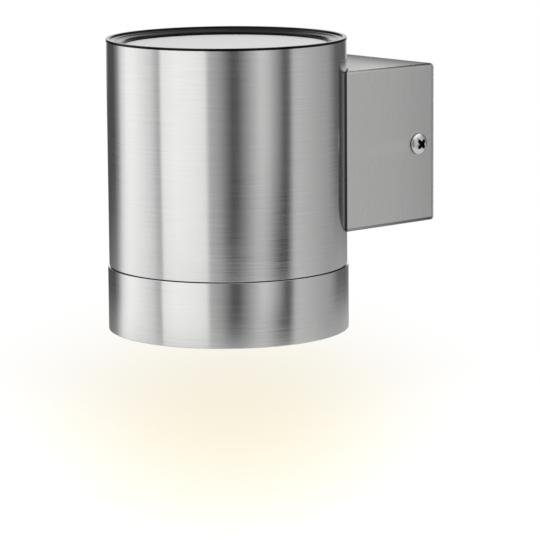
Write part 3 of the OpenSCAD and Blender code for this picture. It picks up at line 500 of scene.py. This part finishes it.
def material(name, colour, roughness, metallic=0.0, grain=(1, 1, 1), scale=900.0, tint=0.06, spread=0.06,
             bump=0.01, blotch=0.04, wear=0.0, dust_and_light=None, fixed=(), tangent=None, pattern=None):
    """Procedural finish: fine grain, slow blotches, worn edges and bump, all in object coordinates.

    grain stretches the noise of the given scale; tint and spread are its share in tone and roughness;
    bump is the height of the grain in millimetres; fixed are sockets with one value all over;
    dust_and_light is the box's pale film on faces that look up, partly dust and partly painted light, as its
    share at the tube and at the wall; it also brings the painted shade in the folds and towards the wall.
    """
    mat = bpy.data.materials.new(name)
    mat.use_nodes = True
    s = Shader(mat.node_tree)
    bsdf = mat.node_tree.nodes["Principled BSDF"]
    place = s.add("TexCoord").outputs["Object"]
    fine = s.noise(s.stretched(place, grain), scale, GRAIN_DETAIL, GRAIN_ROUGH)
    slow = s.noise(place, BLOTCH_SCALE, BLOTCH_DETAIL)
    tone = s.mix(fine, shade(colour, 1 - tint), shade(colour, 1 + tint))
    tone = s.mix(s.span(slow, *NOISE_SPAN, 0.0, blotch * 4), tone, shade(colour, BLOTCH_SHADE))
    if pattern:
        tone = pattern(s, place, tone)
    both = s.math("ADD", s.math("MULTIPLY", fine, FINE_SHARE), s.math("MULTIPLY", slow, SLOW_SHARE))
    rough = s.span(both, *NOISE_SPAN, max(roughness - spread, 0.02), roughness + spread)
    if wear:
        edge = s.span(s.add("NewGeometry").outputs["Pointiness"], *WORN_EDGE, 0.0, wear, smooth=True)
        tone = s.mix(edge, tone, shade(colour, WORN_SHADE))
        rough = s.math("SUBTRACT", rough, s.math("MULTIPLY", edge, WORN_POLISH))
    # Box only: painted shade in the folds and towards the wall, and a pale film that is partly dust and
    # partly painted light
    if dust_and_light:
        tone, film = box_shade_light_and_dust(s, place, tone, dust_and_light)
        rough = s.math("ADD", rough, s.math("MULTIPLY", film, FILM_ROUGH))
        s.links.new(s.span(film, 0, 1, metallic, 0.0), bsdf.inputs["Metallic"])
    height = s.add("Bump", [("Strength", 1.0), ("Distance", bump * MM), ("Height", fine)])
    s.links.new(tone, bsdf.inputs["Base Color"])
    s.links.new(rough, bsdf.inputs["Roughness"])
    s.links.new(height.outputs["Normal"], bsdf.inputs["Normal"])
    bsdf.inputs["Metallic"].default_value = metallic
    for key, value in fixed:
        bsdf.inputs[key].default_value = value
    if tangent:
        s.links.new(tangent(s), bsdf.inputs["Tangent"])
    return mat


def round_tangent(s):
    return s.add("Tangent", direction_type="RADIAL", axis="Z").outputs["Tangent"]


def fold_tangent(s):
    return s.add("Tangent", direction_type="UV_MAP", uv_map="fold").outputs["Tangent"]


def tracks(light, size):
    """Copper tracks under a board's mask, as a light pattern over its tone."""
    def paint(s, place, tone):
        cells = s.add("TexBrick", [("Vector", place), ("Scale", size), ("Mortar Size", 0.06)]).outputs["Fac"]
        return s.mix(s.math("MULTIPLY", cells, 0.5), tone, rgba(light))

    return paint


def wraps(axis, count, depth):
    """Turns of tape, as soft bands."""
    def paint(s, place, tone):
        wave = s.add("TexWave", [("Vector", place), ("Scale", count), ("Distortion", 0.4)],
                     bands_direction=axis).outputs["Fac"]
        return s.mix(s.math("MULTIPLY", wave, depth), tone, rgba(TAPE))

    return paint


TAPE = (0.25, 0.2, 0.05)
BRUSHED = dict(colour=(0.70, 0.70, 0.695), metallic=1, grain=(0.012, 0.012, 1), scale=3600, bump=0.002,
               blotch=0.01, fixed=[("Anisotropic", 0.9), ("Anisotropic Rotation", 0.25)],
               tangent=round_tangent)
LEAD = dict(roughness=0.42, scale=1500, tint=0.08, bump=0.003)
FINISH = {
    "tube_steel": dict(BRUSHED, roughness=0.16, tint=0.13, spread=0.055),
    "ring_steel": dict(BRUSHED, roughness=0.15, tint=0.12, spread=0.035),
    # box_steel: painted shade in its folds and towards the wall, painted light in its pale top film
    "box_steel": dict(colour=(0.62, 0.62, 0.615), roughness=0.3, metallic=1, grain=(1, 1, 0.03), scale=3000,
                      tint=0.09, spread=0.05, bump=0.002, blotch=0.01, wear=0.15, dust_and_light=(1.0, 0.0),
                      fixed=[("Anisotropic", 0.5), ("Specular Tint", (0.1, 0.1, 0.1, 1))],
                      tangent=fold_tangent),
    "disc_steel": dict(colour=(0.87, 0.87, 0.865), roughness=0.65, metallic=1, grain=(0.02, 1, 1),
                       scale=3000, tint=0.04, spread=0.05, bump=0.002, blotch=0.01),
    "plate_steel": dict(colour=(0.55, 0.56, 0.57), roughness=0.42, metallic=1, scale=700, tint=0.12,
                        spread=0.1, bump=0.004, blotch=0.05, wear=0.3),
    "fastener_steel": dict(colour=(0.78, 0.78, 0.77), roughness=0.24, metallic=1, scale=2200, tint=0.08,
                           spread=0.08, bump=0.002, wear=0.3),
    "recess_shade": dict(colour=(0.002, 0.002, 0.002), roughness=0.7, scale=2200, tint=0.3, bump=0.002,
                         fixed=[("Specular IOR Level", 0.1)]),
    "cast_aluminium": dict(colour=(0.60, 0.61, 0.62), roughness=0.38, metallic=1, grain=(0.05, 0.05, 1),
                           scale=1800, tint=0.08, spread=0.08, bump=0.003, wear=0.3),
    "black_plastic": dict(colour=(0.0015, 0.0015, 0.0015), roughness=0.08, scale=1500, tint=0.25,
                          spread=0.03, bump=0.0006, wear=0.02, fixed=[("Specular IOR Level", 0.14)]),
    "black_rubber": dict(colour=(0.016, 0.016, 0.016), roughness=0.6, scale=2500, tint=0.3, spread=0.1,
                         bump=0.01, wear=0.2),
    "pale_silicone": dict(colour=(0.74, 0.74, 0.72), roughness=0.5, scale=1800, tint=0.04, bump=0.005,
                          fixed=[("Subsurface Weight", 0.15), ("Subsurface Scale", 0.002)]),
    "frosted_glass": dict(colour=(0.93, 0.91, 0.85), roughness=0.42, scale=2600, tint=0.02, spread=0.06,
                          bump=0.006, fixed=[("Emission Color", (1.0, 0.86, 0.62, 1)),
                                             ("Emission Strength", 0.75)]),
    "white_plastic": dict(colour=(0.82, 0.82, 0.80), roughness=0.35, scale=1200, tint=0.03, bump=0.002),
    "case_plastic": dict(colour=(0.78, 0.78, 0.76), roughness=0.4, scale=900, tint=0.04, bump=0.006),
    "board_white": dict(colour=(0.80, 0.80, 0.78), roughness=0.32, scale=1300, tint=0.03, bump=0.001,
                        pattern=tracks((0.62, 0.62, 0.6), 90)),
    "board_green": dict(colour=(0.03, 0.16, 0.06), roughness=0.3, scale=1300, tint=0.1, bump=0.001,
                        pattern=tracks((0.08, 0.3, 0.12), 160)),
    "phosphor": dict(colour=(0.85, 0.62, 0.12), roughness=0.45, scale=3000, tint=0.12, bump=0.004,
                     fixed=[("Emission Color", (1.0, 0.8, 0.4, 1)), ("Emission Strength", 0.6)]),
    "pad_grey": dict(colour=(0.30, 0.31, 0.33), roughness=0.7, scale=2500, tint=0.12, bump=0.01),
    "coil_yellow": dict(colour=(0.68, 0.50, 0.08), roughness=0.38, scale=900, tint=0.06, bump=0.003,
                        pattern=wraps("Z", 140, 0.3)),
    "can_dark": dict(colour=(0.03, 0.035, 0.045), roughness=0.3, scale=1200, tint=0.12, bump=0.001,
                     pattern=wraps("Z", 60, 0.15)),
    "brass": dict(colour=(0.62, 0.43, 0.16), roughness=0.3, metallic=1, scale=1600, tint=0.1, bump=0.002,
                  wear=0.3),
    "lead_brown": dict(LEAD, colour=(0.16, 0.06, 0.025)),
    "lead_blue": dict(LEAD, colour=(0.03, 0.12, 0.42)),
    "lead_red": dict(LEAD, colour=(0.45, 0.02, 0.02)),
    "lead_black": dict(LEAD, colour=(0.02, 0.02, 0.02), tint=0.2),
    "lead_earth": dict(LEAD, colour=(0.13, 0.36, 0.04)),
}
materials = {name: material(name + "_finish", **recipe) for name, recipe in FINISH.items()}

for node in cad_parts.values():
    for holder in node.material_slots:
        holder.material = materials[holder.material.name.split(".")[0]]


# Pieces

def install(piece, body, slot, *nodes, finish=None):
    """Gives a piece its material if it has none (its finish, else its slot's), puts it on its body, and
    hides the CAD nodes that it stands in for.
    """
    if not piece.data.materials:
        piece.data.materials.append(materials[finish or slot])
    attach(piece, body)
    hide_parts(*nodes)


install(tube_piece(), "housing", "tube_steel", "tube_shell")
install(lower_ring_piece(), "ring", "tube_steel", "lower_ring", finish="ring_steel")
install(cap_ring_piece(), "housing", "black_plastic", "cap_ring")
install(disc_piece(), "housing", "disc_steel", "top_disc")
install(seam_piece(), "housing", "black_rubber", "seam_seal")
install(lens_piece(), "lens_holder", "frosted_glass", "lens")
install(collar_piece(), "housing", "cast_aluminium", "thread_collar")
install(insert_piece(), "ring", "cast_aluminium", "ring_thread_insert")
install(box_piece(), "housing", "box_steel", "arm_box")
install(screw_piece(1, "right_screw_body"), "right_side_screw", "fastener_steel", "right_screw")
install(screw_piece(-1, "left_screw_body"), "left_side_screw", "fastener_steel", "left_screw")


# Floor, light and camera

FLOOR_Z = -0.2
FLOOR_R, FLOOR_FADE = 0.6, 0.3
FLOOR_TONE, FLOOR_GLOW, FLOOR_IN_GLOSS = 0.45, 0.70, 0.4
# Painted glow under the lamp: a warm absorbing ellipsoid that only the camera sees
PAINTED_GLOW_CENTRE, PAINTED_GLOW_SIZE = (0.0, AXIS_Y * MM, -0.1075), (0.12, 0.12, 0.062)
PAINTED_GLOW_TINT, PAINTED_GLOW_DENSITY = (0.68, 0.51, 0.0), 3.4
CAMERA_WAY = Vector((math.sin(VIEW_TURN), -math.cos(VIEW_TURN), 0))
CAMERA_RIGHT = Vector((math.cos(VIEW_TURN), math.sin(VIEW_TURN), 0))


def empty_material(name):
    """Material with no surface yet, and the helper round its tree."""
    mat = bpy.data.materials.new(name)
    mat.use_nodes = True
    mat.node_tree.nodes.remove(mat.node_tree.nodes["Principled BSDF"])
    return mat, Shader(mat.node_tree)


def make_floor():
    """Round pale floor under the lamp that fades into the white surround."""
    turns, rings = 96, 12
    verts = [(0, AXIS_Y, FLOOR_Z / MM)]
    for j in range(1, rings + 1):
        row = ring_row(FLOOR_R / MM * j / rings, FLOOR_Z / MM, turns)
        verts += [(x, AXIS_Y + y, z) for x, y, z in row]
    faces = [[0, 1 + k, 1 + (k + 1) % turns] for k in range(turns)]
    for j in range(rings - 1):
        a, b = 1 + j * turns, 1 + (j + 1) * turns
        faces += [[a + k, b + k, b + (k + 1) % turns, a + (k + 1) % turns] for k in range(turns)]
    floor = mesh_object("floor", verts, faces)
    mat, s = empty_material("floor_finish")
    place = s.add("TexCoord").outputs["Object"]
    out = s.add("VectorMath", [(0, place), (1, (0, AXIS_Y * MM, FLOOR_Z))], operation="SUBTRACT").outputs[0]
    radius = s.add("VectorMath", [(0, out)], operation="LENGTH").outputs["Value"]
    path = s.add("LightPath").outputs
    seen = s.math("MINIMUM", 1.0, s.math("ADD", path["Is Camera Ray"], path["Is Transmission Ray"]))
    seen = s.math("MAXIMUM", seen, s.math("MULTIPLY", path["Is Glossy Ray"], FLOOR_IN_GLOSS))
    glow = s.add("Emission", [("Strength", s.math("MULTIPLY", seen, FLOOR_GLOW))])
    matt = s.add("BsdfDiffuse", [("Color", (FLOOR_TONE, FLOOR_TONE, FLOOR_TONE, 1))])
    both = s.add("AddShader", [(0, glow.outputs[0]), (1, matt.outputs[0])])
    away = s.math("MAXIMUM", s.span(radius, FLOOR_FADE, FLOOR_R, smooth=True),
                  s.add("NewGeometry").outputs["Backfacing"])
    mixed = s.add("MixShader", [(0, away), (1, both.outputs[0]),
                                (2, s.add("BsdfTransparent").outputs[0])])
    s.links.new(mixed.outputs[0], mat.node_tree.nodes["Material Output"].inputs["Surface"])
    floor.data.materials.append(mat)


def make_painted_glow():
    """Painted glow of the lamp's light: a soft warm ellipsoid under the lamp that tints what lies behind it,
    seen only by the camera.
    """
    rings, turns = 24, 48
    rows = []
    for j in range(1, rings):
        a = math.pi * j / rings
        rows.append([(PAINTED_GLOW_SIZE[0] / MM * math.sin(a) * math.cos(TAU * k / turns),
                      PAINTED_GLOW_SIZE[1] / MM * math.sin(a) * math.sin(TAU * k / turns),
                      -PAINTED_GLOW_SIZE[2] / MM * math.cos(a)) for k in range(turns)])
    haze = skin("haze", rows, False, lambda p: p + Vector(PAINTED_GLOW_CENTRE) / MM)
    mat, s = empty_material("haze_finish")
    place = s.add("TexCoord").outputs["Object"]
    away = s.add("VectorMath", [(0, place), (1, PAINTED_GLOW_CENTRE)], operation="SUBTRACT").outputs[0]
    share = s.add("VectorMath", [(0, away), (1, PAINTED_GLOW_SIZE)], operation="DIVIDE").outputs[0]
    radius = s.add("VectorMath", [(0, share)], operation="LENGTH").outputs["Value"]
    thick = s.math("MULTIPLY", s.span(radius, 0.0, 1.0, PAINTED_GLOW_DENSITY, 0.0, smooth=True),
                   s.add("LightPath").outputs["Is Camera Ray"])
    # Painted glow: warm tint over the background under the lamp
    glow_absorber = s.add("VolumeAbsorption", [("Color", rgba(PAINTED_GLOW_TINT)), ("Density", thick)])
    s.links.new(glow_absorber.outputs[0], mat.node_tree.nodes["Material Output"].inputs["Volume"])
    haze.data.materials.append(mat)


# Soft boxes and flags round the lamp: azimuth from the camera in degrees, brightness
STUDIO = [(-180, 0.20), (-165, 0.08), (-138, 0.09), (-129, 0.29), (-121, 0.84), (-111, 1.18),
          (-100, 1.19), (-88, 1.02), (-77, 0.83), (-70.5, 0.58), (-67.5, 0.55), (-65, 1.10), (-50, 1.20),
          (-31, 1.13), (-21, 1.02), (-17, 0.56), (-8, 0.42), (0, 0.22), (5, 0.10), (10, 0.12), (18, 0.36),
          (32, 0.76), (39, 0.70), (50, 0.37), (56, 0.13), (61, 0.16), (66, 0.58), (72, 0.63),
          (112, 0.42), (128, 0.15), (150, 0.12), (180, 0.34)]
# The same for ways that point down, and the sines from where it starts to where it is full
STUDIO_LOW = [(-180, 0.25), (-150, 0.25), (-138, 0.35), (-129, 0.75), (-121, 1.10), (-111, 1.19),
              (-88, 1.02), (-77, 0.83), (-70.5, 0.58), (-67.5, 0.55), (-65, 1.10), (-50, 1.20),
              (-31, 1.13), (-21, 1.02), (-17, 0.56), (-8, 0.40), (0, 0.14), (5, 0.06), (10, 0.12),
              (18, 0.30), (27, 0.56), (34, 0.56), (40, 0.42), (46, 0.20), (52, 0.04), (59, 0.05),
              (64, 0.40), (68, 0.62), (72, 0.63), (112, 0.42), (135, 0.50), (180, 0.58)]
LOW_EDGE = (-0.168, -0.205)
# Long low box behind the lamp: azimuths where it starts, sines of its lower and upper edge
STRIP_FROM, STRIP_RISE, STRIP_FADE, STRIP_LEVEL = (158, 168), (-0.105, -0.065), (0.19, 0.42), 1.1
# Box overhead and table below: sines from where they start to where they are full, and brightness
TOP_BOX, TOP_LEVEL = (0.5, 0.75), 1.2
TABLE, TABLE_LEVEL = (-0.45, -0.6), 0.85


def make_world():
    """White to the camera; soft boxes, flags and an overhead box to everything else."""
    world = bpy.data.worlds.new("studio")
    bpy.context.scene.world = world
    world.use_nodes = True
    s = Shader(world.node_tree)
    way = s.add("TexCoord").outputs["Generated"]

    def along(axis):
        return s.add("VectorMath", [(0, way), (1, axis)], operation="DOT_PRODUCT").outputs["Value"]

    azimuth = s.math("ARCTAN2", along(CAMERA_RIGHT), along(CAMERA_WAY))
    place = s.span(azimuth, -math.pi, math.pi)
    height = along((0, 0, 1))
    light, foot = (s.ramp(place, [((a + 180) / 360, rgba([v] * 3)) for a, v in round_lamp])
                   for round_lamp in (STUDIO, STUDIO_LOW))
    aside = s.math("ABSOLUTE", s.math("MULTIPLY", azimuth, 360 / TAU))
    strip = s.math("MULTIPLY", s.span(aside, *STRIP_FROM), s.math(
        "MULTIPLY", s.span(height, *STRIP_RISE), s.span(height, *STRIP_FADE, 1.0, 0.0)))
    light = s.mix(strip, light, rgba([STRIP_LEVEL] * 3))
    light = s.mix(s.span(height, *LOW_EDGE), light, foot)
    light = s.mix(s.span(height, *TOP_BOX, smooth=True), light, rgba([TOP_LEVEL] * 3))
    light = s.mix(s.span(height, *TABLE, smooth=True), light, rgba([TABLE_LEVEL] * 3))
    path = s.add("LightPath").outputs
    clear = s.math("MAXIMUM", path["Is Camera Ray"], path["Is Transmission Ray"])
    light = s.mix(clear, light, (1, 1, 1, 1))
    back = world.node_tree.nodes["Background"]
    s.links.new(light, back.inputs["Color"])
    back.inputs["Strength"].default_value = 1.0


def make_camera():
    data = bpy.data.cameras.new("camera")
    cam = bpy.data.objects.new("camera", data)
    bpy.context.scene.collection.objects.link(cam)
    data.sensor_width = SENSOR_MM
    data.lens = FOCAL_PX / IMAGE_PX * SENSOR_MM
    data.clip_start, data.clip_end = 0.01, 20
    up = Vector((0, 0, 1))
    ahead = (math.sin(VIEW_YAW) * math.cos(VIEW_PITCH) * CAMERA_RIGHT
             - math.cos(VIEW_YAW) * math.cos(VIEW_PITCH) * CAMERA_WAY + math.sin(VIEW_PITCH) * up)
    right = math.cos(VIEW_YAW) * CAMERA_RIGHT + math.sin(VIEW_YAW) * CAMERA_WAY
    over = right.cross(ahead)
    x = right * math.cos(VIEW_ROLL) + over * math.sin(VIEW_ROLL)
    y = -right * math.sin(VIEW_ROLL) + over * math.cos(VIEW_ROLL)
    cam.matrix_world = Matrix.Translation(
        CAMERA_WAY * VIEW_DISTANCE + Vector((0, AXIS_Y * MM, VIEW_HEIGHT))
    ) @ Matrix((x, y, -ahead)).transposed().to_4x4()
    bpy.context.scene.camera = cam


make_floor()
make_painted_glow()
make_world()
make_camera()
bpy.context.scene.view_settings.view_transform = "Standard"
